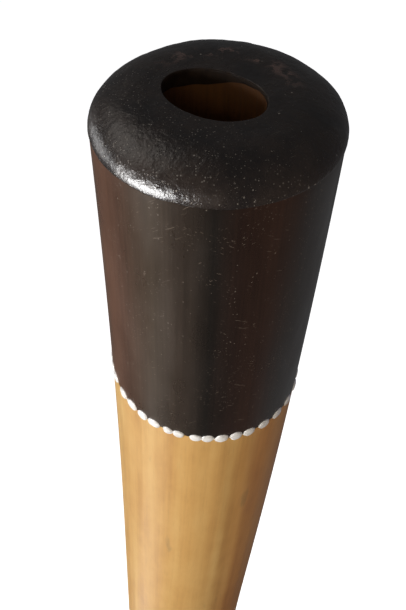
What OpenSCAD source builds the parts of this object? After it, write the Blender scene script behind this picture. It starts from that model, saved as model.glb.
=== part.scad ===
// Didgeridoo: a wooden tube, hollowed in two halves and glued along both sides. Its mouth end is
// rounded and lacquered, and a stained band below it ends in a ring of raised paint dots.
// Frame: millimetres, +Z up, origin at the centre of the bell's rim, mouth at the top.

/* [Tube] */
// Length from the bell's rim to the flat top of the mouth end
tube_length = 1250; // [1100:10:1500]
// Outer radius at the crease under the mouth end
mouth_r = 36; // [36:0.5:40]
// Outer radius at the slimmest place
waist_r = 35.2; // [33:0.1:35.4]
// Height of the slimmest place, as a share of the length
waist_share = 0.72; // [0.6:0.01:0.8]
// Outer radius at the bell's rim
bell_r = 53; // [52:0.5:60]
// How far the tube bows sideways at mid length
bow = 16; // [0:1:16]

/* [Bore] */
// Radius of the bore below the mouth
bore_r = 15; // [13:0.5:17]
// Radius of the bore at the bell's rim
bell_bore_r = 40; // [34:0.5:42]
// Length over which the oval mouth blends into the round bore
mouth_blend = 60; // [40:5:100]
// Thickness of the glue between the two halves
glue_t = 0.3; // [0.2:0.1:0.5]

/* [Mouth end] */
// Height of the rounded shoulder above the crease
shoulder_h = 9; // [7:0.5:12]
// Radius of the flat top
flat_r = 20; // [18:0.5:22]
// Half the long axis of the oval mouth
mouth_long = 15.2; // [14:0.1:16]
// Half the short axis of the oval mouth
mouth_short = 11; // [10:0.1:13]
// Direction of the oval's long axis
mouth_turn = 154; // [0:1:180]
// Sideways offset of the mouth from the tube's axis
mouth_offset = -1.4; // [-2:0.1:2]
// Thickness of the lacquer on the mouth end
lacquer_t = 0.5; // [0.3:0.1:0.6]
// Mean depth to which the lacquer runs into the mouth
lacquer_run = 3.6; // [3:0.2:12]

/* [Stain and dots] */
// Thickness of the stain coats
stain_t = 0.1; // [0.1:0.05:0.3]
// Length of the neck stain, from the crease to the dots
neck_stain_length = 109; // [80:1:140]
// Number of dots round the neck
neck_dot_count = 39; // [24:1:44]
// Height of the bell stain's border above the rim
bell_stain_top = 95; // [60:1:140]
// Bare wood left below the bell stain
bell_stain_foot = 4; // [3:1:20]
// Number of dots round the bell
bell_dot_count = 56; // [30:1:60]
// Largest radius of a dot
dot_r = 2.4; // [1.5:0.1:2.6]
// Height of the largest dots above the stain
dot_h = 0.8; // [0.4:0.1:1]

/* [Hidden] */
crease_z = tube_length - shoulder_h;
wood_crease_r = mouth_r - lacquer_t;
waist_z = tube_length * waist_share;
// Exponents of the flare's outside and of the bore's widening
flare_power = 2.2;
bore_power = 1.8;
// Slope of the neck's dotted border across the tube, along X and along Y
neck_slope = [-0.084, 0.04];
// Small bevel round the bell's rim and round the mouth's edge
rim_bevel = 1.5;
lip_bevel = 0.8;
// Angle steps in half a turn, and rings along the wall, the shoulder and a stain coat
half_steps = 32;
wall_rings = 34;
shoulder_rings = 8;
stain_rings = 6;
// Deepest run of the lacquer into the mouth: its direction, and how much deeper than the mean
run_turn = 120;
run_swing = 0.55;
// Direction of the neck's first dot, and the gaps after its dots as shares of the mean gap. The
// gaps were laid by hand, and the row of them is repeated round the ring.
neck_start = 201.5;
neck_gaps = [1.3, 1, 1, 0.9, 1, 0.7, 1.1, 0.75, 0.9, 0.95, 0.9, 1.15, 1.2, 1.3];
// The bell's dots: shares of the mean gap by which each may be off its place, and their seed
bell_wander = 0.1;
bell_seed = 11;
// Share of a dot's size by which it may be smaller, and the seed of the sizes
dot_size_wander = 0.1;
size_seed = 7;
// Widest that a dot may be, as a share of the gap to its nearer neighbour
dot_fill = 0.96;
// Facets of a dot's round faces
dot_fn = 96;

// X of the tube's axis at height z: upright at both ends, bowed towards -X between them
function axis_x(z) = -bow / 2 * (1 - cos(360 * z / tube_length));

// Outer radius of the wood below the crease
function outer_r(z) = z > waist_z
    ? waist_r + (wood_crease_r - waist_r) * pow((z - waist_z) / (crease_z - waist_z), 2)
    : waist_r + (bell_r - waist_r) * pow((waist_z - z) / waist_z, flare_power);

// Radius of the round bore, before the mouth's oval is blended in
function round_bore_r(z) =
    bore_r + (bell_bore_r - bore_r) * pow(1 - z / tube_length, bore_power);

// 1 at the mouth, falling smoothly to 0 at the end of the blend
function mouth_share(z) = (1 + cos(180 * min((tube_length - z) / mouth_blend, 1))) / 2;

function mix(a, b, share) = a + (b - a) * share;

// Radius of an ellipse in direction a, where its long axis points along turn
function oval_r(long, short, turn, a) =
    long * short / norm([short * cos(a - turn), long * sin(a - turn)]);

// Radius of the bare bore at height z, in direction a
function bore_wall_r(z, a) = oval_r(
    mix(round_bore_r(z), mouth_long, mouth_share(z)),
    mix(round_bore_r(z), mouth_short, mouth_share(z)), mouth_turn, a);

// X of the bore's centre at height z
function bore_x(z) = axis_x(z) + mouth_offset * mouth_share(z);

// Point at radius r from the centre x, in direction a
function polar(x, r, a, z) = [x + r * cos(a), r * sin(a), z];

// Depth to which the lacquer runs into the mouth in direction a
function run_depth(a) = lacquer_run * (1 + run_swing * cos(a - run_turn));

// Height of the neck's dotted border in direction a
function neck_border_z(a) = crease_z - neck_stain_length
    + waist_r * (neck_slope.x * cos(a) + neck_slope.y * sin(a));

// Rounded shoulder from the crease up to the flat top, inset by t, as [r, z]
function shoulder(t) = [
    for (i = [0 : shoulder_rings])
        let (u = 90 * i / shoulder_rings)
        [flat_r + (mouth_r - flat_r - t) * cos(u), crease_z + (shoulder_h - t) * sin(u)]
];

// Heights of the rings on the tube's wall, from the bell's rim to z_top
function wall_z(z_top) = [for (i = [0 : wall_rings]) mix(rim_bevel, z_top, i / wall_rings)];

// The wood's outside from the rim's bevel to the flat top, as [r, z]
function wood_outside() = concat(
    [[bell_r - rim_bevel, 0]],
    [for (z = wall_z(crease_z)) [outer_r(z), z]],
    [for (i = [1 : shoulder_rings]) shoulder(lacquer_t)[i]]);

// Heights of the rings in the bore, from under the lacquer down to the bell
function bore_z() = concat(
    [for (i = [0 : shoulder_rings])
        tube_length - lacquer_t - mouth_blend * i / shoulder_rings],
    [for (i = [1 : wall_rings + 1])
        mix(tube_length - lacquer_t - mouth_blend, 0, i / (wall_rings + 1))]);

// Angle of step k of a half, measured from the glue, for a circle of radius r
function half_angle(k, r) =
    let (start = asin(glue_t / 2 / r))
    start + (180 - 2 * start) * k / half_steps;

// Same point, moved onto the glue's face when it lies on the first or the last step
function on_seam(p, k, side) =
    k == 0 || k == half_steps ? [p.x, side * glue_t / 2, p.z] : p;

// Closed outline of a half at step k, up the outside and down the bore. The back half lies on
// side 1 and the front half on side -1.
function wood_outline(k, side) = concat(
    [for (p = wood_outside())
        on_seam(polar(axis_x(p[1]), p[0], side * half_angle(k, p[0]), p[1]), k, side)],
    [for (z = bore_z())
        let (a = side * half_angle(k, bore_wall_r(z, k < half_steps / 2 ? 0 : 180)))
        on_seam(polar(bore_x(z), bore_wall_r(z, a), a, z), k, side)]);

// Solid swept through outlines, where outlines[k][j] is point j of the closed outline k.
// Outlines turn anticlockwise about +Z and run up the outside and down the inside. Where the
// turn isn't full, both ways have as many points, and each end is a strip between them.
module swept(outlines, full_turn) {
    steps = len(outlines);
    n = len(outlines[0]);
    last = (steps - 1) * n;
    sides = [
        for (k = [0 : steps - (full_turn ? 1 : 2)], j = [0 : n - 1])
            let (a = k * n, b = (k + 1) % steps * n, i = (j + 1) % n)
            each [[a + j, a + i, b + i], [a + j, b + i, b + j]]
    ];
    ends = full_turn ? [] : [
        for (j = [0 : n / 2 - 2])
            let (in = n - 1 - j)
            each [
                [in, in - 1, j + 1], [in, j + 1, j],
                [last + j, last + j + 1, last + in - 1], [last + j, last + in - 1, last + in]
            ]
    ];
    polyhedron(points = [for (outline = outlines) each outline],
        faces = concat(sides, ends), convexity = 6);
}

// Angles of a full turn
function turn_angles() = [for (k = [0 : 2 * half_steps - 1]) 180 * k / half_steps];

// Thin coat on the outside of the tube between two heights given for each angle
module coat(lows, highs) {
    angles = turn_angles();
    swept([
        for (k = [0 : len(angles) - 1])
            let (zs = [for (i = [0 : stain_rings]) mix(lows[k], highs[k], i / stain_rings)])
            concat(
                [for (z = zs) polar(axis_x(z), outer_r(z) + stain_t, angles[k], z)],
                [for (i = [stain_rings : -1 : 0])
                    polar(axis_x(zs[i]), outer_r(zs[i]), angles[k], zs[i])])
    ], true);
}

// One paint dot: a flat-bottomed cap of a ball, standing on z = 0
module dot(r, h) {
    ball_r = (r * r + h * h) / (2 * h);
    intersection() {
        translate([0, 0, h - ball_r])
            sphere(ball_r, $fn = dot_fn);
        cylinder(r = r, h = h, $fn = dot_fn);
    }
}

// Radius of dot i of a ring round a tube of radius r: it keeps clear of its nearer neighbour
function dot_radius(angles, i, r) =
    let (
        n = len(angles),
        before = (angles[i] - angles[(i + n - 1) % n] + 360) % 360,
        after = (angles[(i + 1) % n] - angles[i] + 360) % 360,
        room = r * PI / 180 * min(before, after) * dot_fill / 2,
        size = rands(1 - dot_size_wander, 1, n, size_seed)[i]
    )
    min(dot_r * size, room);

// Ring of hand-laid dots: one on each angle, on the surface of the stain at its height
module dot_ring(angles, heights) {
    for (i = [0 : len(angles) - 1]) {
        tube_r = outer_r(heights[i]) + stain_t;
        r = dot_radius(angles, i, tube_r);
        sunk = r * r / 2 / tube_r;
        translate(polar(axis_x(heights[i]), tube_r - sunk, angles[i], heights[i]))
            rotate([0, 90, angles[i]])
                dot(r, dot_h * r / dot_r);
    }
}

// Sum of the first k numbers of a list that is repeated without end
function sum_of(list, k) = k == 0 ? 0 : sum_of(list, k - 1) + list[(k - 1) % len(list)];

// Directions of the neck's dots, and of the bell's
function neck_angles() = [
    for (i = [0 : neck_dot_count - 1])
        neck_start + 360 * sum_of(neck_gaps, i) / sum_of(neck_gaps, neck_dot_count)
];
function bell_angles() =
    let (off = rands(-bell_wander, bell_wander, bell_dot_count, bell_seed))
    [for (i = [0 : bell_dot_count - 1]) (i + off[i]) * 360 / bell_dot_count];

module front_half_shell() {
    color("#C8964F")
        swept([for (k = [half_steps : -1 : 0]) wood_outline(k, -1)], false);
}

module back_half_shell() {
    color("#BF8C48")
        swept([for (k = [0 : half_steps]) wood_outline(k, 1)], false);
}

module glue_seam(k) {
    rotate([90, 0, 0])
        linear_extrude(glue_t, center = true)
            polygon([for (p = wood_outline(k, 1)) [p.x, p.z]]);
}

module glue_seam_left() {
    color("#6B4420")
        glue_seam(half_steps);
}

module glue_seam_right() {
    color("#6B4420")
        glue_seam(0);
}

// Lacquer over the mouth end: crease, shoulder, flat top and the first millimetres of the mouth
module mouth_lacquer() {
    rim_z = tube_length - lacquer_t;
    color("#2A2220")
        swept([
            for (a = turn_angles())
                let (
                    low = tube_length - run_depth(a),
                    x = bore_x(tube_length),
                    wood_r = bore_wall_r(tube_length, a),
                    edge_r = wood_r - lacquer_t
                )
                concat(
                    [for (p = shoulder(0)) polar(axis_x(p[1]), p[0], a, p[1])],
                    [polar(x, edge_r + lip_bevel, a, tube_length)],
                    [polar(x, edge_r, a, tube_length - lip_bevel)],
                    [polar(bore_x(low), bore_wall_r(low, a) - lacquer_t, a, low)],
                    [polar(bore_x(low), bore_wall_r(low, a), a, low)],
                    [polar(x, bore_wall_r(rim_z, a), a, rim_z)],
                    [for (i = [shoulder_rings : -1 : 0])
                        let (p = shoulder(lacquer_t)[i])
                        polar(axis_x(p[1]), p[0], a, p[1])])
        ], true);
}

module neck_stain() {
    angles = turn_angles();
    color("#3B2B23")
        coat([for (a = angles) neck_border_z(a)], [for (a = angles) crease_z]);
}

module neck_dots() {
    color("#F2F0EA")
        dot_ring(neck_angles(), [for (a = neck_angles()) neck_border_z(a)]);
}

module bell_stain() {
    angles = turn_angles();
    color("#3B2B23")
        coat([for (a = angles) bell_stain_foot], [for (a = angles) bell_stain_top]);
}

module bell_dots() {
    color("#F2F0EA")
        dot_ring(bell_angles(), [for (a = bell_angles()) bell_stain_top]);
}

front_half_shell();
back_half_shell();
glue_seam_left();
glue_seam_right();
mouth_lacquer();
neck_stain();
neck_dots();
bell_stain();
bell_dots();
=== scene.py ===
# Didgeridoo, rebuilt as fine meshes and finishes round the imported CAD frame.
# Metres, +Z up, the bell's rim on the floor at the origin, the mouth at the top.
import math

import bpy
import numpy as np
from mathutils import Euler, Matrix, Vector, noise


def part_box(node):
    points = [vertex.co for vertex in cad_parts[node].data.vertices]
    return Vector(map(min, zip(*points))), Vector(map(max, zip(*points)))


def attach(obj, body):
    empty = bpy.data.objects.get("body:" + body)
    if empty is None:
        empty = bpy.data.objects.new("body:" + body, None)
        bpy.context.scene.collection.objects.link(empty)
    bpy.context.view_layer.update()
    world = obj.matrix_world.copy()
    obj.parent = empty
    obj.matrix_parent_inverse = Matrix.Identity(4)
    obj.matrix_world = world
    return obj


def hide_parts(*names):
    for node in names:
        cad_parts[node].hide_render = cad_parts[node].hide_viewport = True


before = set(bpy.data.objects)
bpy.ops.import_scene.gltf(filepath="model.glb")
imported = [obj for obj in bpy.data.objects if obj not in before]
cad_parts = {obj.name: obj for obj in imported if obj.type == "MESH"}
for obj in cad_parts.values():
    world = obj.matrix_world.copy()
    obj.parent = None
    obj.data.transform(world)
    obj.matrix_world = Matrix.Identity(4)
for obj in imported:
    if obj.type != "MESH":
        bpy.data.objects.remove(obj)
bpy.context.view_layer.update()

MM = 0.001
TURN = 2 * math.pi

# ---------------------------------------------------------------- driving sizes, from the frame
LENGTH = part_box("mouth_lacquer")[1].z
CREASE_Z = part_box("neck_stain")[1].z
MOUTH_R = (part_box("mouth_lacquer")[1].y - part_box("mouth_lacquer")[0].y) / 2
BELL_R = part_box("glue_seam_right")[1].x
GLUE_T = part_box("glue_seam_right")[1].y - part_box("glue_seam_right")[0].y
BELL_STAIN_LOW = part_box("bell_stain")[0].z
BELL_STAIN_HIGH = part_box("bell_stain")[1].z

# ---------------------------------------------------------------- sizes shared with the CAD source
WAIST_R = 35.2 * MM
WAIST_Z = 0.72 * LENGTH
BOW = 16 * MM
BORE_R = 15 * MM
BELL_BORE_R = 40 * MM
MOUTH_BLEND = 60 * MM
FLAT_R = 20 * MM
MOUTH_LONG = 15.2 * MM
MOUTH_SHORT = 11 * MM
MOUTH_TURN = math.radians(154)
MOUTH_OFFSET = -1.4 * MM
LACQUER_T = 0.5 * MM
LACQUER_RUN = 3.6 * MM
RUN_TURN = math.radians(120)
STAIN_T = 0.1 * MM
NECK_STAIN_LENGTH = 109 * MM
NECK_SLOPE = (-0.084, 0.04)  # rise of the dotted border along X and along Y
FLARE_POWER = 2.2
BORE_POWER = 1.8
RIM_BEVEL = 1.5 * MM
LIP_BEVEL = 0.8 * MM

# ---------------------------------------------------------------- hand work on the wood
HAND_FADE = 4 * RIM_BEVEL  # it fades in over this height above the bell's rim
FACETS = 19
FACET_DEPTH = 0.13 * MM
WAVE_DEPTH = 0.07 * MM
GOUGE_DEPTH = 0.35 * MM
GOUGE_FADE = 25 * MM
SEAM_GROOVE = 0.06 * MM
SEAM_GROOVE_WIDTH = 0.9 * MM
GLUE_SUNK = 0.05 * MM
SHARP_ANGLE = math.radians(40)

# ---------------------------------------------------------------- brushwork
FOOT_ROLL = 0.3 * MM  # the lacquer's lower edge is rolled in by this much
FOOT_WAVE = 0.5 * MM
FOOT_FADE = 3 * MM
WOOD_OVERLAP = 0.02 * MM  # the lacquer's hidden side lies this deep in the wood
THIN_SHARE = 0.2  # share of the run into the mouth over which it thins out
BORDER_WAVE = 0.35 * MM
STAIN_UNDER_LACQUER = 0.6 * MM
STAIN_EDGE = 0.25  # share of its thickness that a stain coat has at its edges
STAIN_EDGE_RINGS = 1.5
DOT_RISE = 0.6 * MM
DOT_BED = 0.6 * STAIN_T  # height above the wood at which a dot's edge lies
DUSTY_SIDE = math.radians(225)
RUBBED_SIDE = math.radians(75)
# Colours of the wood: pale, middle, dark
FRONT_WOOD = ((0.72, 0.455, 0.16), (0.64, 0.365, 0.112), (0.51, 0.255, 0.07))
BACK_WOOD = ((0.69, 0.425, 0.15), (0.6, 0.34, 0.106), (0.42, 0.19, 0.05))
# Sockets of Blender's Mix node that hold colours
MIX_A, MIX_B, MIX_RESULT = 6, 7, 2

# ---------------------------------------------------------------- fineness of the meshes
HALF_STEPS = 110
WALL_POINTS = 300
SHOULDER_POINTS = 12
RIM_POINTS = 5
COAT_STEPS = 420
COAT_RINGS = 60
LACQUER_STEPS = 480
DOT_RINGS = 8
DOT_SPOKES = 28
# Points of the lacquer's outline, in their order from its foot
SIDE_POINTS = 46
FLAT_POINTS = 12
LIP_POINTS = 7
THROAT_POINTS = 21
UNDER_POINTS = 4
LIP_START = SIDE_POINTS + FLAT_POINTS
THROAT_START = LIP_START + LIP_POINTS
UNDER_START = THROAT_START + THROAT_POINTS
BACK_START = UNDER_START + UNDER_POINTS
THIN_END_POINTS = 3  # last points of the throat, too thin to swell

# ---------------------------------------------------------------- camera and lights
CAMERA_BACK = 173.8 * MM
CAMERA_UP = 127.1 * MM
CAMERA_TILT = (40.2, 0.6, 2.3)
CAMERA_LENS = 44.85
DAYLIGHT = (1, 1, 1)
# Each light: the share of the tube's length at which it aims, azimuth and elevation in degrees,
# distance and size in metres, power in watts, colour, and the kind of light that it leaves out.
LIGHTS = {
    "window": (1, 214, 1, 1.2, (0.72, 0.5), 7.8, DAYLIGHT, None),
    "window_glint": (1, 215, -4, 1.2, (0.8, 0.62), 21.5, DAYLIGHT, "diffuse"),
    "side_window": (1, 166, -3, 1.2, (0.9, 0.42), 2.2, DAYLIGHT, None),
    "upper_left_wall": (1, 154, 47, 1.6, (1.1, 0.9), 2.3, (1, 0.93, 0.86), None),
    "front_wall": (0.87, 257, 10, 1.6, (1.6, 1.8), 13, (1, 0.92, 0.78), "glossy"),
    "low_left_panel": (0.87, 195, -68, 0.95, (0.18, 0.3), 0.23, DAYLIGHT, None),
    "low_right_panel": (0.87, 25, -50, 1.2, (1.2, 0.9), 0.2, DAYLIGHT, None),
    "lower_window": (0.3, 212, 4, 1.3, (1.0, 0.8), 10, DAYLIGHT, "glossy"),
    "warm_side": (0.5, 292, 8, 2.2, (1.4, 2.0), 3, (1, 0.62, 0.36), "glossy"),
    "right_back_fill": (0.5, 30, 8, 2.4, (2.4, 2.0), 9, (0.7, 0.68, 1), "glossy"),
}
FILL_COLOUR = (0.96, 0.97, 1, 1)
FILL_STRENGTH = 0.06
BACKDROP_COLOUR = (0.93, 0.93, 0.93, 1)
FLOOR_COLOUR = (0.8, 0.8, 0.8, 1)
FLOOR_GLOW = 0.92


# ================================================================ shape of the tube
def axis_x(z):
    """X of the tube's axis: upright at both ends, bowed towards -X between them."""
    return -BOW / 2 * (1 - np.cos(TURN * z / LENGTH))


def outer_r(z):
    """Radius of the wood's outside below the crease, before the hand work."""
    crease_r = MOUTH_R - LACQUER_T
    up = np.clip((z - WAIST_Z) / (CREASE_Z - WAIST_Z), 0, None)
    down = np.clip((WAIST_Z - z) / WAIST_Z, 0, None)
    return WAIST_R + (crease_r - WAIST_R) * up ** 2 + (BELL_R - WAIST_R) * down ** FLARE_POWER


def round_bore_r(z):
    """Radius of the bore where it is round."""
    return BORE_R + (BELL_BORE_R - BORE_R) * np.clip(1 - z / LENGTH, 0, 1) ** BORE_POWER


def mouth_share(z):
    """1 at the mouth, falling smoothly to 0 at the end of the blend."""
    return (1 + np.cos(math.pi * np.clip((LENGTH - z) / MOUTH_BLEND, 0, 1))) / 2


def bore_wall_r(z, a):
    """Radius of the bore: an oval at the mouth that blends into a circle."""
    share = mouth_share(z)
    long = round_bore_r(z) * (1 - share) + MOUTH_LONG * share
    short = round_bore_r(z) * (1 - share) + MOUTH_SHORT * share
    return long * short / np.hypot(short * np.cos(a - MOUTH_TURN), long * np.sin(a - MOUTH_TURN))


def bore_x(z):
    """X of the bore's centre, which leaves the tube's axis near the mouth."""
    return axis_x(z) + MOUTH_OFFSET * mouth_share(z)


def wave_terms(seed, count, turns, pitch):
    """Random waves round the tube and along it: (turns, radians per metre, phase)."""
    pick = np.random.default_rng(seed)
    return [(pick.integers(*turns), pick.uniform(-pitch, pitch), pick.uniform(0, TURN))
            for _ in range(count)]


UNEVEN = wave_terms(3, 7, (2, 7), 26)
GOUGES = wave_terms(5, 9, (5, 13), 60)
RIPPLE = wave_terms(8, 6, (3, 15), 10)


def waves(terms, a, z):
    """Mean of the waves, between -1 and 1."""
    return sum(np.sin(n * a + k * z + p) for n, k, p in terms) / len(terms)


def facets(a, z):
    """Soft flats left along the tube by the drawknife: 0 on their edges, and down to -1 in their
    middles. They drift sideways and vary in depth."""
    drift = 0.35 * np.sin(2 * a + 7 * z + 1) + 0.2 * np.sin(3 * a - 17 * z)
    across = 2 * ((FACETS * a / TURN + drift) % 1) - 1
    return -(1 - across ** 2 * (2 - across ** 2)) * (0.7 + 0.3 * np.sin(4 * a + 23 * z))


def seam_groove(a, r):
    """The wood is worn a little beside the glue, which lies at angles 0 and 180 degrees."""
    off = np.abs(np.sin(a)) * r / SEAM_GROOVE_WIDTH
    return -SEAM_GROOVE * np.exp(-off ** 2)


def wood_r(z, a):
    """Radius of the finished wood's outside."""
    r = outer_r(z)
    uneven = 2 * WAVE_DEPTH * waves(UNEVEN, a, z)
    return r + uneven + FACET_DEPTH * facets(a, z) + seam_groove(a, r)


def carved_bore_r(z, a):
    """Radius of the bore with its gouge marks, which fade out short of the mouth."""
    fade = np.clip((LENGTH - z - GOUGE_FADE) / GOUGE_FADE, 0, 1)
    return bore_wall_r(z, a) + 2 * GOUGE_DEPTH * waves(GOUGES, a, z) * fade


def neck_border_z(a):
    """Height of the neck's dotted border."""
    slope_x, slope_y = NECK_SLOPE
    return CREASE_Z - NECK_STAIN_LENGTH + WAIST_R * (slope_x * np.cos(a) + slope_y * np.sin(a))


def brushed(z, a, phase):
    """A brushed border, which waves up and down about the height z."""
    return z + BORDER_WAVE * waves(RIPPLE, a, phase)


def run_depth(a):
    """Depth to which the lacquer runs into the mouth: deepest at the back left."""
    back = (1 + np.cos(a - RUN_TURN)) / 2
    return LACQUER_RUN * (0.3 + 1.25 * back ** 3 + 0.1 * waves(RIPPLE, a, 0))


def polar(x, r, a, z):
    """Points at radius r from the centre x, in direction a."""
    return np.stack(np.broadcast_arrays(x + r * np.cos(a), r * np.sin(a), z), axis=-1)


def full_turn(steps):
    """Directions round the tube, as a column."""
    return np.linspace(0, TURN, steps, endpoint=False)[:, None]


# ================================================================ meshes
def grid_faces(rows, columns, row_wrap, column_wrap):
    """Quads between neighbouring rows and columns of a grid of points."""
    i = np.arange(rows if row_wrap else rows - 1)[:, None]
    j = np.arange(columns if column_wrap else columns - 1)[None, :]
    below, beside = (i + 1) % rows, (j + 1) % columns
    quads = [i * columns + j, i * columns + beside, below * columns + beside, below * columns + j]
    return np.stack(np.broadcast_arrays(*quads), axis=-1).reshape(-1, 4)


def strip_caps(rows, columns):
    """Ends of an open sweep whose outline runs up one wall and down the other."""
    j = np.arange(columns // 2 - 1)
    inner = columns - 1 - j
    first = np.stack([j, inner, inner - 1, j + 1], axis=-1)
    last = first[:, ::-1] + (rows - 1) * columns
    return np.concatenate([first, last])


def build(name, points, faces, finishes, node, which=None):
    """A smooth mesh piece that stands for one CAD node and rides on the tube. With two finishes,
    which gives each face's own, as 0 or 1. The attribute straight holds each point's place as if
    the tube had no bow, and all finishes are laid out in it."""
    mesh = bpy.data.meshes.new(name)
    flat = points.reshape(-1, 3)
    mesh.from_pydata(flat.tolist(), [], [tuple(face) for face in faces])
    straight = flat.copy()
    straight[:, 0] -= axis_x(flat[:, 2])
    field = mesh.attributes.new("straight", "FLOAT_VECTOR", "POINT")
    field.data.foreach_set("vector", straight.astype(np.float32).ravel())
    mesh.shade_smooth()
    for finish in finishes:
        mesh.materials.append(finish)
    if which is not None:
        mesh.polygons.foreach_set("material_index", which.astype(np.int32))
    piece = bpy.data.objects.new(name, mesh)
    bpy.context.scene.collection.objects.link(piece)
    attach(piece, "root")
    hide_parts(node)
    return piece


def shoulder(t, count):
    """Rounded shoulder from the crease up to the flat top, inset by t, as radii and heights."""
    u = np.linspace(0, math.pi / 2, count)
    return (FLAT_R + (MOUTH_R - FLAT_R - t) * np.cos(u),
            CREASE_Z + (LENGTH - CREASE_Z - t) * np.sin(u))


def half_angle(share, r):
    """Angle at a share of half a turn, measured between the two faces of the glue."""
    start = np.arcsin(GLUE_T / 2 / r)
    return start + (math.pi - 2 * start) * share


def outside_profile():
    """Radii and heights up the outside of the wood: rim, wall, and shoulder under the lacquer."""
    u = np.linspace(0, math.pi / 2, RIM_POINTS)
    rim_r = outer_r(RIM_BEVEL) - RIM_BEVEL * (1 - np.sin(u))
    rim_z = RIM_BEVEL * (1 - np.cos(u))
    wall_z = np.linspace(RIM_BEVEL, CREASE_Z, WALL_POINTS)[1:]
    top_r, top_z = shoulder(LACQUER_T, SHOULDER_POINTS)
    return (np.concatenate([rim_r, outer_r(wall_z), top_r[1:]]),
            np.concatenate([rim_z, wall_z, top_z[1:]]))


def bore_heights(count):
    """Heights down the bore, close together near the mouth, with two last ones for the rim."""
    near = np.linspace(LENGTH - LACQUER_T, LENGTH - MOUTH_BLEND, count // 4)
    far = np.linspace(LENGTH - MOUTH_BLEND, RIM_BEVEL / 2, count - len(near) - 1)
    return np.concatenate([near, far[1:], [RIM_BEVEL / 6, 0]])


def wood_outlines(shares, side):
    """Closed outlines of one half, one for each share of the half turn."""
    r, z = outside_profile()
    a = side * half_angle(shares[:, None], r[None, :])
    hand = (wood_r(z, a) - outer_r(z)) * (z <= CREASE_Z) * np.clip(z / HAND_FADE, 0, 1)
    outside = polar(axis_x(z), r + hand, a, z)
    bore_z = bore_heights(len(z))
    ease = np.zeros(len(z))
    ease[-2:] = RIM_BEVEL / 4, RIM_BEVEL
    seam = np.where(shares[:, None] < 0.5, 0.0, math.pi)
    b = side * half_angle(shares[:, None], bore_wall_r(bore_z[None, :], seam))
    inside = polar(bore_x(bore_z), carved_bore_r(bore_z, b) + ease, b, bore_z)
    return np.concatenate([outside, inside], axis=1)


def wood_half(name, side, varnished, bare, node):
    """Half of the hollowed tube: varnished outside, bare in the bore and on the bell's rim."""
    shares = np.linspace(0, 1, HALF_STEPS + 1)
    points = wood_outlines(shares if side > 0 else shares[::-1], side)
    rows, columns = points.shape[:2]
    walls, ends = grid_faces(rows, columns, False, True), strip_caps(rows, columns)
    faces = np.concatenate([walls, ends])[:, ::-1]
    column = np.arange(len(walls)) % columns
    which = np.concatenate([column >= columns // 2 - 1, np.ones(len(ends))])
    piece = build(name, points, faces, (varnished, bare), node, which)
    piece.data.set_sharp_from_angle(angle=SHARP_ANGLE)


def glue_strip(name, share, finish):
    """Thin strip of glue that follows the outline of the wood, a little sunk. Blender adds .001 to
    its name, because the CAD node has the same one."""
    outline = wood_outlines(np.array([share]), 1)[0]
    out_x = 1 if share == 0 else -1
    inward = np.full(len(outline), GLUE_SUNK)
    inward[len(outline) // 2:] *= -1
    outline[:, 0] -= out_x * inward
    points = np.stack([outline * (1, 0, 1) + (0, y, 0) for y in (-GLUE_T / 2, GLUE_T / 2)])
    rows, columns = points.shape[:2]
    faces = np.concatenate([grid_faces(rows, columns, False, True), strip_caps(rows, columns)])
    if out_x < 0:
        faces = faces[:, ::-1]
    build(name, points, faces, (finish,), name)


def coat(name, a, low_z, high_z, finish, node):
    """Thin coat on the wood between two heights, with its rings close together at its edges,
    where it thins out."""
    share = (1 - np.cos(math.pi * np.linspace(0, 1, COAT_RINGS)))[None, :] / 2
    z = low_z * (1 - share) + high_z * share
    edge = np.clip(np.minimum(share, 1 - share) * COAT_RINGS / STAIN_EDGE_RINGS, 0, 1)
    thick = STAIN_T * (STAIN_EDGE + (1 - STAIN_EDGE) * edge)
    outside = polar(axis_x(z), wood_r(z, a) + thick, a, z)
    inside = polar(axis_x(z), wood_r(z, a) - STAIN_T / 2, a, z)[:, ::-1]
    points = np.concatenate([outside, inside], axis=1)
    faces = grid_faces(*points.shape[:2], True, True)
    build(name, points, faces[:, ::-1], (finish,), node)


def stain_coats(finish):
    """The stain on the neck, which ends under the lacquer, and the stain near the bell."""
    a = full_turn(COAT_STEPS)
    coat("neck_stain_coat", a, brushed(neck_border_z(a), a, 1), CREASE_Z + STAIN_UNDER_LACQUER,
         finish, "neck_stain")
    coat("bell_stain_coat", a, brushed(BELL_STAIN_LOW, a, 2), brushed(BELL_STAIN_HIGH, a, 3),
         finish, "bell_stain")


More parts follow.
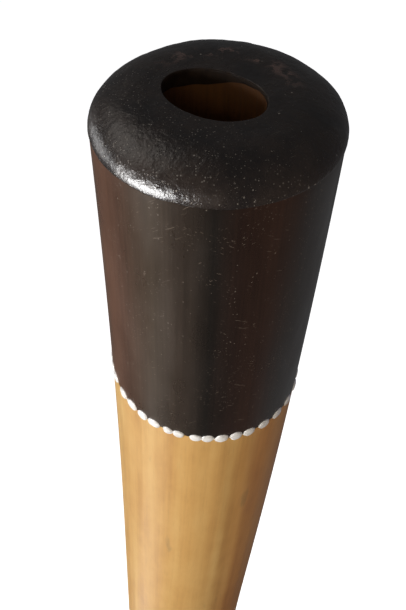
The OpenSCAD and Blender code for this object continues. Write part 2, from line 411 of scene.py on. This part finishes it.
# ================================================================ finishes
class Finish:
    """One procedural material, with short calls for its nodes."""

    def __init__(self, name):
        self.material = bpy.data.materials.new(name)
        self.material.use_nodes = True
        self.tree = self.material.node_tree
        self.shader = self.tree.nodes["Principled BSDF"]
        self.place = self.node("Attribute", attribute_name="straight").outputs["Vector"]

    def node(self, kind, sockets=None, **settings):
        made = self.tree.nodes.new("ShaderNode" + kind)
        for key, value in settings.items():
            setattr(made, key, value)
        for key, value in (sockets or {}).items():
            self.feed(made.inputs[key], value)
        return made

    def feed(self, socket, value):
        """Links a socket to another node, or sets its plain value."""
        if isinstance(value, bpy.types.NodeSocket):
            self.tree.links.new(value, socket)
        else:
            socket.default_value = value

    def surface(self, **values):
        """Feeds the shader's sockets, whose names are given with _ for a space."""
        for key, value in values.items():
            self.feed(self.shader.inputs[key.replace("_", " ")], value)

    def scaled(self, scale, offset=(0, 0, 0), turn=(0, 0, 0)):
        """The place on the tube, first turned and then scaled: repeats per metre on each axis."""
        turned = self.node("Mapping", {"Vector": self.place, "Rotation": turn}).outputs["Vector"]
        sockets = {"Vector": turned, "Scale": scale, "Location": offset}
        return self.node("Mapping", sockets).outputs["Vector"]

    def noise(self, vector, detail=4, roughness=0.5, distortion=0):
        sockets = {"Vector": vector, "Scale": 1, "Detail": detail, "Roughness": roughness,
                   "Distortion": distortion}
        return self.node("TexNoise", sockets).outputs["Fac"]

    def cells(self, vector):
        """Distance to the nearest point of a random lattice, and that point's random colour."""
        made = self.node("TexVoronoi", {"Vector": vector, "Scale": 1})
        return made.outputs["Distance"], made.outputs["Color"]

    def math(self, operation, a, b=0.0):
        return self.node("Math", {0: a, 1: b}, operation=operation).outputs[0]

    def product(self, first, *others):
        """All the values multiplied."""
        for value in others:
            first = self.math("MULTIPLY", first, value)
        return first

    def total(self, parts, start=0.0):
        """A start value plus other values, each times its weight."""
        for value, weight in parts:
            start = self.math("ADD", self.product(value, weight), start)
        return start

    def span(self, value, low, high, to_low=0.0, to_high=1.0):
        """Carries a value smoothly from one range to another, and holds it there beyond."""
        sockets = {"Value": value, "From Min": low, "From Max": high, "To Min": to_low,
                   "To Max": to_high}
        return self.node("MapRange", sockets, interpolation_type="SMOOTHSTEP").outputs[0]

    def ramp(self, value, *stops):
        """Colour for a value, from stops of a position and a colour."""
        made = self.node("ValToRGB", {"Fac": value})
        points = made.color_ramp.elements
        while len(points) < len(stops):
            points.new(0.5)
        for point, (position, colour) in zip(points, stops):
            point.position = position
            point.color = (*colour, 1)
        return made.outputs["Color"]

    def mix(self, factor, a, b, blend="MIX"):
        made = self.node("Mix", {0: factor}, data_type="RGBA", blend_type=blend)
        for index, value in ((MIX_A, a), (MIX_B, b)):
            self.feed(made.inputs[index], (*value, 1) if isinstance(value, tuple) else value)
        return made.outputs[MIX_RESULT]

    def bump(self, height, distance, strength):
        sockets = {"Height": height, "Distance": distance, "Strength": strength}
        return self.node("Bump", sockets).outputs["Normal"]

    def turn_share(self, wander):
        """Share of a turn round the tube from its left side, by way of the front, which wanders a
        little along the tube."""
        sideways = self.math("SUBTRACT", self.noise(self.scaled((60, 60, 5), (2, 0, 0)), 2), 0.5)
        place = self.node("TexGradient", {"Vector": self.place}, gradient_type="RADIAL")
        return self.total(((sideways, wander),), place.outputs["Fac"])

    def specks(self, per_metre, size, share, offset=(0, 0, 0)):
        """1 on small round specks, which fill a share of the cells of a random lattice."""
        distance, colour = self.cells(self.scaled((per_metre,) * 3, offset))
        pick = self.node("SeparateColor", {"Color": colour}).outputs
        chosen = self.math("LESS_THAN", pick[0], share)
        radius = self.span(pick[1], 0, 1, size * 0.4, size)
        spot = self.math("LESS_THAN", distance, radius)
        return self.product(spot, chosen)

    def scratches(self, turn, offset):
        """A few short fine scratches in one direction."""
        lines = self.noise(self.scaled((150, 2600, 2600), offset, turn), 1, 0.3)
        broken = self.noise(self.scaled((130,) * 3, offset), 2, 0.5)
        return self.product(self.span(lines, 0.7, 0.735), self.span(broken, 0.5, 0.56))

    def crossed_scratches(self, first_turn, second_turn):
        """Scratches in two directions."""
        return self.math("MAXIMUM", self.scratches(first_turn, (1, 2, 3)),
                         self.scratches(second_turn, (7, 5, 3)))


def wood_finish(name, seed, pale, middle, dark):
    """Ochre wood under a thin clear varnish: long fibres, soft bands, pores and small smudges. It
    carries painted shade: a redder tint on the right of its front, where the wood turns away from
    the light."""
    f = Finish(name)
    shift = (seed, seed * 0.7, seed * 0.3)
    bands = f.noise(f.scaled((190, 190, 3.5), shift), 3, 0.55)
    fibres = f.noise(f.scaled((1200, 1200, 22), shift), 4, 0.6, 0.3)
    clouds = f.noise(f.scaled((38, 38, 16), shift), 4, 0.6)
    patches = f.noise(f.scaled((170, 170, 60), shift), 3, 0.6)
    tone = f.total(((bands, 0.42), (clouds, 0.26), (fibres, 0.12), (patches, 0.2)))
    colour = f.ramp(tone, (0.36, dark), (0.5, middle), (0.64, pale))
    # painted shade: the right of the front, where the light falls off, is tinted redder
    turned = f.turn_share(0.04)
    painted_shade_tint = f.product(f.span(turned, 0.3, 0.37), f.span(turned, 0.6, 0.48))
    colour = f.mix(painted_shade_tint, colour, (1, 0.8, 0.66), "MULTIPLY")
    distance, _ = f.cells(f.scaled((1500, 1500, 60), shift))
    pores = f.span(distance, 0.1, 0.28, 1, 0)
    smudge = f.span(f.noise(f.scaled((110, 110, 20), (seed + 4, 0, 0)), 3, 0.6), 0.64, 0.78)
    colour = f.mix(f.product(pores, 0.1), colour, (0.2, 0.1, 0.035))
    colour = f.mix(f.product(smudge, 0.4), colour, (0.2, 0.12, 0.06))
    height = f.math("SUBTRACT", f.product(fibres, 0.6), pores)
    f.surface(Base_Color=colour, Roughness=f.total(((clouds, 0.25), (fibres, 0.12)), 0.28),
              Normal=f.bump(height, 0.04 * MM, 0.4), Coat_Weight=0.4, Coat_Roughness=0.42,
              Specular_IOR_Level=0.5)
    return f.material


def bore_finish():
    """Bare wood of the bore, with long gouge marks. It is darker towards its top end."""
    f = Finish("bare_bore_wood")
    fibres = f.noise(f.scaled((900, 900, 20)), 5, 0.6, 0.5)
    clouds = f.noise(f.scaled((60, 60, 18)), 3, 0.6)
    tone = f.total(((fibres, 0.5), (clouds, 0.5)))
    fresh = f.ramp(tone, (0.35, (0.22, 0.11, 0.038)), (0.62, (0.42, 0.235, 0.09)))
    worn = f.ramp(tone, (0.35, (0.21, 0.09, 0.03)), (0.62, (0.4, 0.17, 0.052)))
    height = f.node("SeparateXYZ", {"Vector": f.place}).outputs["Z"]
    colour = f.mix(f.span(height, LENGTH * 0.25, LENGTH * 0.8), fresh, worn)
    # darker towards the top end of the bore
    darker_near_mouth = f.span(height, LENGTH - 24 * MM, LENGTH - 3 * MM, 0, 0.8)
    colour = f.mix(darker_near_mouth, colour, (0.05, 0.02, 0.008))
    f.surface(Base_Color=colour, Roughness=f.span(fibres, 0.3, 0.7, 0.6, 0.85),
              Normal=f.bump(fibres, 0.2 * MM, 0.8), Specular_IOR_Level=0.2)
    return f.material


def glue_finish():
    """Dried brown glue, a little glassy."""
    f = Finish("dried_glue")
    clouds = f.noise(f.scaled((400, 400, 120)), 4, 0.6)
    colour = f.ramp(clouds, (0.3, (0.09, 0.035, 0.012)), (0.7, (0.22, 0.1, 0.04)))
    f.surface(Base_Color=colour, Roughness=f.span(clouds, 0.3, 0.7, 0.25, 0.5),
              Normal=f.bump(clouds, 0.05 * MM, 0.6))
    return f.material


def stain_painted_light_round_tube(f):
    """Painted light and shade in the stain's colour round the tube: warm brown on the lit left,
    near black in front, grey on the right.
    """
    # painted light: the left, which faces the light, is warm brown
    left = (0.13, 0.07, 0.04)
    return f.ramp(
        f.turn_share(0.05),
        (0.0, left), (0.03, left), (0.07, (0.13, 0.06, 0.034)),
        (0.11, (0.085, 0.042, 0.026)), (0.17, (0.062, 0.044, 0.03)),
        (0.21, (0.045, 0.032, 0.024)), (0.25, (0.013, 0.01, 0.008)),
        (0.285, (0.026, 0.013, 0.009)), (0.33, (0.044, 0.02, 0.012)),
        (0.375, (0.03, 0.022, 0.018)), (0.5, (0.03, 0.027, 0.025)),
        (0.62, (0.05, 0.028, 0.016)), (0.75, (0.024, 0.018, 0.016)),
        (0.9, (0.06, 0.04, 0.026)), (0.97, left))


def stain_finish():
    """Dark see-through stain under a clear coat, with painted light and shade round the tube that
    runs along it in streaks, and with dust and scratches in it."""
    f = Finish("dark_stain_under_clear_coat")
    fibres = f.noise(f.scaled((1300, 1300, 18), (5, 3, 1)), 4, 0.6, 0.3)
    clouds = f.noise(f.scaled((70, 70, 25), (9, 1, 0)), 4, 0.6)
    tone = f.total(((fibres, 0.5), (clouds, 0.5)))
    shade = f.ramp(tone, (0.35, (0.72,) * 3), (0.65, (1.1,) * 3))
    # the stain's colour carries painted light and shade by side round the tube
    colour = f.mix(1.0, stain_painted_light_round_tube(f), shade, "MULTIPLY")
    dust = f.specks(900, 0.2, 0.16)
    flecks = f.specks(300, 0.1, 0.06, (4, 4, 4))
    marks = f.math("MAXIMUM", f.product(dust, 0.35), f.product(flecks, 0.5))
    colour = f.mix(marks, colour, (0.36, 0.30, 0.25))
    scratches = f.crossed_scratches((0, 0.7, 0.2), (0, -0.45, -0.3))
    colour = f.mix(f.product(scratches, 0.35), colour, (0.25, 0.2, 0.16))
    rough = f.math("ADD", f.span(clouds, 0.3, 0.7, 0.26, 0.4), f.product(marks, 0.4))
    f.surface(Base_Color=colour, Roughness=rough,
              Normal=f.bump(f.math("ADD", fibres, marks), 0.03 * MM, 0.35),
              Specular_IOR_Level=0.35, Coat_Weight=0.3, Coat_Roughness=0.22)
    return f.material


def towards(f, x, y, direction):
    """How far a place lies from the tube's axis towards a direction."""
    return f.total(((x, math.cos(direction)), (y, math.sin(direction))))


def lacquer_marks(f, x, y):
    """Fine dust on the side that faces it, and flecks all over."""
    patch = f.noise(f.scaled((70,) * 3, (8, 0, 0)), 3, 0.6)
    dusty = f.product(f.span(towards(f, x, y, DUSTY_SIDE), -8 * MM, 24 * MM),
                      f.span(patch, 0.3, 0.55))
    dust = f.specks(1350, 0.3, 0.5, (2, 1, 0))
    flecks = f.specks(520, 0.14, 0.16, (6, 4, 4))
    return f.math("MAXIMUM", f.product(dust, dusty, 0.42), f.product(flecks, 0.6))


def rubbed_places(f, x, y):
    """Broken patches on a ring round the mouth, on the far side only."""
    out = f.math("POWER", f.total(((f.product(x, x), 1), (f.product(y, y), 1))), 0.5)
    ring = f.product(f.span(out, 17.5 * MM, 20 * MM), f.span(out, 25 * MM, 21.5 * MM))
    worn = f.span(f.noise(f.scaled((230,) * 3, (3, 3, 0)), 4, 0.65), 0.49, 0.6)
    return f.product(ring, worn, f.span(towards(f, x, y, RUBBED_SIDE), 4 * MM, 20 * MM))


def lacquer_finish():
    """Thick black-brown lacquer: crinkled skin, dust on one side, scratches and rubbed places."""
    f = Finish("black_lacquer")
    clouds = f.noise(f.scaled((90,) * 3), 4, 0.6)
    grain = f.noise(f.scaled((1900,) * 3), 3, 0.6)
    crinkle = f.noise(f.scaled((900,) * 3, (3, 1, 2)), 4, 0.6, 0.5)
    x, y, _ = f.node("SeparateXYZ", {"Vector": f.place}).outputs
    marks = lacquer_marks(f, x, y)
    scratches = f.crossed_scratches((0, 0.2, 0.6), (0.2, 0, -0.7))
    colour = f.ramp(clouds, (0.35, (0.016, 0.012, 0.011)), (0.65, (0.036, 0.025, 0.02)))
    colour = f.mix(marks, colour, (0.45, 0.41, 0.37))
    colour = f.mix(f.product(scratches, 0.22), colour, (0.2, 0.17, 0.14))
    colour = f.mix(f.product(rubbed_places(f, x, y), 0.7), colour, (0.235, 0.15, 0.13))
    rough = f.math("ADD", f.span(clouds, 0.3, 0.7, 0.2, 0.32), f.product(marks, 0.4))
    skin = f.bump(f.total(((crinkle, 1), (grain, 0.2))), 0.2 * MM, 0.85)
    f.surface(Base_Color=colour, Roughness=rough, Normal=skin, Coat_Normal=skin,
              Specular_IOR_Level=0.5, Coat_Weight=1.0, Coat_Roughness=0.24)
    return f.material


def dull_lacquer_finish():
    """The same lacquer where it has run down into the mouth, dulled by breath."""
    f = Finish("dull_lacquer_in_mouth")
    clouds = f.noise(f.scaled((400,) * 3), 4, 0.6)
    colour = f.ramp(clouds, (0.35, (0.01, 0.006, 0.004)), (0.65, (0.022, 0.013, 0.008)))
    f.surface(Base_Color=colour, Roughness=f.span(clouds, 0.3, 0.7, 0.6, 0.8),
              Normal=f.bump(clouds, 0.3 * MM, 0.6), Specular_IOR_Level=0.15)
    return f.material


def paint_finish():
    """White acrylic paint, a little chalky, darker in its dips."""
    f = Finish("white_acrylic_paint")
    clouds = f.noise(f.scaled((500,) * 3), 4, 0.6)
    colour = f.ramp(clouds, (0.3, (0.76, 0.74, 0.72)), (0.5, (0.89, 0.88, 0.87)))
    f.surface(Base_Color=colour, Roughness=f.span(clouds, 0.3, 0.7, 0.35, 0.55),
              Normal=f.bump(clouds, 0.15 * MM, 0.6))
    return f.material


# ================================================================ mouth lacquer
def lacquer_outside(a):
    """The seen outside of the lacquer: rolled foot, shoulder, flat top and rounded lip."""
    foot = CREASE_Z + FOOT_WAVE * waves(RIPPLE, a, 0)
    r, z = shoulder(0, SIDE_POINTS)
    r, z = r[None, :], z[None, :] * np.ones_like(a)
    ease = np.clip((z - CREASE_Z) / FOOT_FADE, 0, 1)
    z = z + (foot - CREASE_Z) * (1 - ease)
    roll = FOOT_ROLL * (1 - np.sqrt(1 - np.clip(1 - (z - foot) / FOOT_ROLL, 0, 1) ** 2))
    side = polar(axis_x(z), r - roll, a, z)
    lip = bore_wall_r(LENGTH, a) - LACQUER_T
    top_edge = polar(0 * a, FLAT_R, a, LENGTH)
    lip_edge = polar(bore_x(LENGTH), lip + LIP_BEVEL, a, LENGTH)
    share = np.linspace(0, 1, FLAT_POINTS + 2)[1:-1, None]
    flat = top_edge * (1 - share) + lip_edge * share
    u = np.linspace(0, math.pi / 2, LIP_POINTS)[None, :]
    round_lip = polar(bore_x(LENGTH), lip + LIP_BEVEL * (1 - np.sin(u)), a,
                      LENGTH - LIP_BEVEL * (1 - np.cos(u)))
    return [side, flat, round_lip]


def lacquer_inside(a):
    """The run into the mouth, which thins out at its end, and the side that lies on the wood."""
    low = LENGTH - run_depth(a)
    share = np.linspace(0, 1, THROAT_POINTS + 1)[None, 1:]
    z = (LENGTH - LIP_BEVEL) * (1 - share) + low * share
    thick = LACQUER_T * np.sqrt(np.clip((1 - share) / THIN_SHARE, 0.0, 1))
    throat = polar(bore_x(z), bore_wall_r(z, a) - thick, a, z)
    z = np.linspace(0, 1, UNDER_POINTS)[None, :] * (LENGTH - LACQUER_T - low) + low
    under = polar(bore_x(z), bore_wall_r(z, a) + WOOD_OVERLAP, a, z)
    r, z = shoulder(LACQUER_T, SHOULDER_POINTS)
    r, z = r[None, ::-1], z[None, ::-1]
    back = polar(axis_x(z), r - WOOD_OVERLAP, a, z)
    return [throat, under, back]


def normals_of(points):
    """Outward directions at the points of a closed grid, from their neighbours."""
    along = np.roll(points, -1, 1) - np.roll(points, 1, 1)
    around = np.roll(points, -1, 0) - np.roll(points, 1, 0)
    out = np.cross(around, along)
    return out / np.maximum(np.linalg.norm(out, axis=-1, keepdims=True), 1e-12)


def lumps(points, size, seed):
    """Soft random lumps of a given size, from -1 to 1."""
    shift = Vector((seed, 2 * seed, 3 * seed))
    flat = [noise.noise(Vector(p) / size + shift) for p in points.reshape(-1, 3)]
    return np.array(flat).reshape(points.shape[:-1])


def swell_of(points):
    """Swellings of the lacquer in three sizes, a little less than nothing on average."""
    return (0.22 * MM * lumps(points, 14 * MM, 4) + 0.09 * MM * lumps(points, 4.5 * MM, 6)
            + 0.06 * MM * lumps(points, 1.7 * MM, 9) - 0.18 * MM)


def mouth_lacquer(finish, dull):
    """The lacquer on the mouth end, dull from its lip inwards."""
    a = full_turn(LACQUER_STEPS)
    points = np.concatenate(lacquer_outside(a) + lacquer_inside(a), axis=1)
    swollen = slice(0, UNDER_START - THIN_END_POINTS)
    swell = swell_of(points[:, swollen])[..., None]
    points[:, swollen] += normals_of(points)[:, swollen] * swell
    faces = grid_faces(*points.shape[:2], True, True)
    column = np.arange(len(faces)) % points.shape[1]
    which = (column >= LIP_START + 2) & (column < BACK_START - 1)
    build("mouth_lacquer_coat", points, faces, (finish, dull), "mouth_lacquer",
          which)


# ================================================================ paint dots
def islands(node):
    """Centre and size of each separate solid of a CAD node."""
    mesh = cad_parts[node].data
    root = list(range(len(mesh.vertices)))

    def find(i):
        while root[i] != i:
            root[i] = root[root[i]]
            i = root[i]
        return i

    for edge in mesh.edges:
        first, second = edge.vertices
        root[find(first)] = find(second)
    groups = {}
    for vertex in mesh.vertices:
        groups.setdefault(find(vertex.index), []).append(vertex.co)
    boxes = [(np.min(group, axis=0), np.max(group, axis=0)) for group in groups.values()]
    return [((low + high) / 2, high - low) for low, high in boxes]


def dot_faces():
    """Faces of a dot: a fan round its crown, rings of quads down to its base, and the base."""
    sides = [(i, (i + 1) % DOT_SPOKES) for i in range(DOT_SPOKES)]
    faces = [(0, 1 + i, 1 + j) for i, j in sides]
    for ring in range(DOT_RINGS):
        inner, outer = 1 + ring * DOT_SPOKES, 1 + (ring + 1) * DOT_SPOKES
        faces += [(inner + i, outer + i, outer + j, inner + j) for i, j in sides]
    base = 1 + DOT_RINGS * DOT_SPOKES
    faces.append(tuple(base + i for i in reversed(range(DOT_SPOKES))))
    return faces


def dot_points(centre, size, seed):
    """Points of one hand-laid dot: an irregular dome that lies on the curved coat."""
    pick = np.random.default_rng(seed)
    x, y, z = centre
    a0 = math.atan2(y, x - axis_x(z))
    height = size[2] / 2
    width = height * pick.uniform(0.98, 1.12)
    phi = np.linspace(0, TURN, DOT_SPOKES, endpoint=False)
    edge = (1 + 0.06 * np.sin(2 * phi + pick.uniform(0, 6))
            + 0.05 * np.sin(3 * phi + pick.uniform(0, 6)))
    t = np.linspace(0, 1, DOT_RINGS + 1)[1:, None]
    across = width * t * edge * np.cos(phi)
    up = z + height * t * edge * np.sin(phi)
    lean = pick.uniform(-0.15, 0.15, 2)
    tilt = 1 + lean[0] * t * np.cos(phi) + lean[1] * t * np.sin(phi)
    dome = np.sqrt(np.clip(1 - t ** 2.6, 0, 1)) * tilt
    rise = DOT_RISE * pick.uniform(0.85, 1.1)
    angle = a0 + across / outer_r(z)
    skin = polar(axis_x(up), wood_r(up, angle) + DOT_BED + rise * dome, angle, up)
    crown = polar(axis_x(z), wood_r(z, a0) + DOT_BED + rise, a0, z)
    base = polar(axis_x(up[-1]), wood_r(up[-1], angle[-1]) - STAIN_T, angle[-1], up[-1])
    return np.concatenate([crown[None], skin.reshape(-1, 3), base])


def dot_ring(name, node, finish):
    """All the dots of one ring, as one piece of separate domes."""
    dots = [dot_points(centre, size, seed) for seed, (centre, size) in enumerate(islands(node))]
    faces = [tuple(number * len(dot) + i for i in face)
             for number, dot in enumerate(dots) for face in dot_faces()]
    build(name, np.concatenate(dots), faces, (finish,), node)


# ================================================================ stage, lights and camera
def pale_floor():
    """A wide, pale, glowing floor, which neither lights the tube nor is mirrored in it."""
    bpy.ops.mesh.primitive_circle_add(vertices=96, radius=9, fill_type="NGON")
    floor = bpy.context.object
    floor.name = "pale_floor"
    shade = bpy.data.materials.new("pale_floor")
    shade.use_nodes = True
    shader = shade.node_tree.nodes["Principled BSDF"]
    shader.inputs["Base Color"].default_value = FLOOR_COLOUR
    shader.inputs["Roughness"].default_value = 0.9
    shader.inputs["Specular IOR Level"].default_value = 0.1
    shader.inputs["Emission Color"].default_value = (1, 1, 1, 1)
    shader.inputs["Emission Strength"].default_value = FLOOR_GLOW
    floor.data.materials.append(shade)
    floor.visible_diffuse = False
    floor.visible_glossy = False


def bearing(azimuth, elevation):
    """Unit direction at an azimuth from +X and an elevation above the horizon, in degrees."""
    a, e = math.radians(azimuth), math.radians(elevation)
    return Vector((math.cos(a) * math.cos(e), math.sin(a) * math.cos(e), math.sin(e)))


def soft_light(name, aim, azimuth, elevation, distance, size, power, colour, left_out):
    """A soft panel that faces the tube and isn't seen by the camera itself."""
    data = bpy.data.lights.new(name, "AREA")
    data.shape = "RECTANGLE"
    data.size, data.size_y = size
    data.energy = power
    data.color = colour
    light = bpy.data.objects.new(name, data)
    out = bearing(azimuth, elevation)
    light.location = Vector((0, 0, LENGTH * aim)) + out * distance
    light.rotation_euler = out.to_track_quat("Z", "Y").to_euler()
    light.visible_camera = False
    light.visible_diffuse = left_out != "diffuse"
    light.visible_glossy = left_out != "glossy"
    bpy.context.scene.collection.objects.link(light)


def surroundings():
    """A dim fill all round, and a paler backdrop that only the camera sees."""
    world = bpy.data.worlds.new("studio")
    world.use_nodes = True
    nodes, links = world.node_tree.nodes, world.node_tree.links
    fill = nodes["Background"]
    fill.inputs["Color"].default_value = FILL_COLOUR
    fill.inputs["Strength"].default_value = FILL_STRENGTH
    backdrop = nodes.new("ShaderNodeBackground")
    backdrop.inputs["Color"].default_value = BACKDROP_COLOUR
    chooser = nodes.new("ShaderNodeMixShader")
    path = nodes.new("ShaderNodeLightPath")
    links.new(path.outputs["Is Camera Ray"], chooser.inputs[0])
    links.new(fill.outputs[0], chooser.inputs[1])
    links.new(backdrop.outputs[0], chooser.inputs[2])
    links.new(chooser.outputs[0], nodes["World Output"].inputs["Surface"])
    bpy.context.scene.world = world


def studio():
    """Floor, lights and surroundings, shown without a film look."""
    pale_floor()
    for name, settings in LIGHTS.items():
        soft_light(name, *settings)
    surroundings()
    bpy.context.scene.view_settings.view_transform = "Standard"


def camera():
    """Close to the mouth end, looking down along the tube."""
    data = bpy.data.cameras.new("camera")
    data.lens = CAMERA_LENS
    data.sensor_width = 36
    data.clip_start = 0.01
    eye = bpy.data.objects.new("camera", data)
    eye.location = (0, -CAMERA_BACK, CREASE_Z + CAMERA_UP)
    eye.rotation_mode = "ZYX"
    eye.rotation_euler = Euler([math.radians(v) for v in CAMERA_TILT], "ZYX")
    bpy.context.scene.collection.objects.link(eye)
    bpy.context.scene.camera = eye


# ================================================================ the whole
def main():
    camera()
    studio()
    front = wood_finish("ochre_wood_front", 1.0, *FRONT_WOOD)
    back = wood_finish("ochre_wood_back", 5.0, *BACK_WOOD)
    glue, bare, paint = glue_finish(), bore_finish(), paint_finish()
    wood_half("wood_front_half", -1, front, bare, "front_half_shell")
    wood_half("wood_back_half", 1, back, bare, "back_half_shell")
    glue_strip("glue_seam_left", 1.0, glue)
    glue_strip("glue_seam_right", 0.0, glue)
    mouth_lacquer(lacquer_finish(), dull_lacquer_finish())
    stain_coats(stain_finish())
    dot_ring("neck_paint_dots", "neck_dots", paint)
    dot_ring("bell_paint_dots", "bell_dots", paint)


main()
